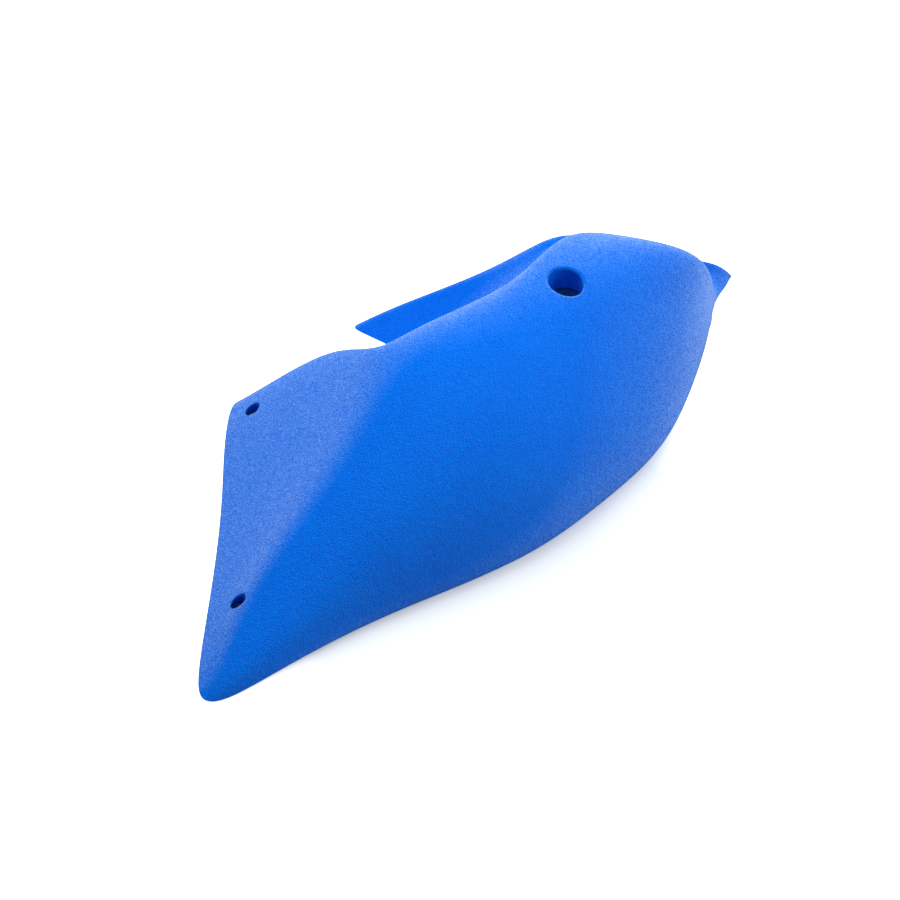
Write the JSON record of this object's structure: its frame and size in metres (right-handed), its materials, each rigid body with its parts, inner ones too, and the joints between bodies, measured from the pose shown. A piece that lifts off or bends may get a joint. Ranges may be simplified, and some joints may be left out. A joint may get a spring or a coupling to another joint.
{
  "type": "climbing hold",
  "caption": "Large sculpted bolt-on climbing hold with a tapering wing, a fin along its back and a finger notch between them.",
  "frame": {"origin": "centre of the bounding box in plan, on the wall plane that the flat back lies on", "axes": "+Z out of the wall, along the bolt; +Y from the tapering wing's tip towards the fin; +X towards the rounded head"},
  "size_m": [0.2982, 0.3286, 0.076],
  "materials": {
    "resin": "even sand-like grain, fully matte",
    "washer_steel": "plain zinc-plated steel"
  },
  "bodies": {
    "root": {"hold_body": "resin", "bolt_washer": "washer_steel", "rear_screw_washer": "washer_steel", "front_screw_washer": "washer_steel"}
  },
  "joints": []
}
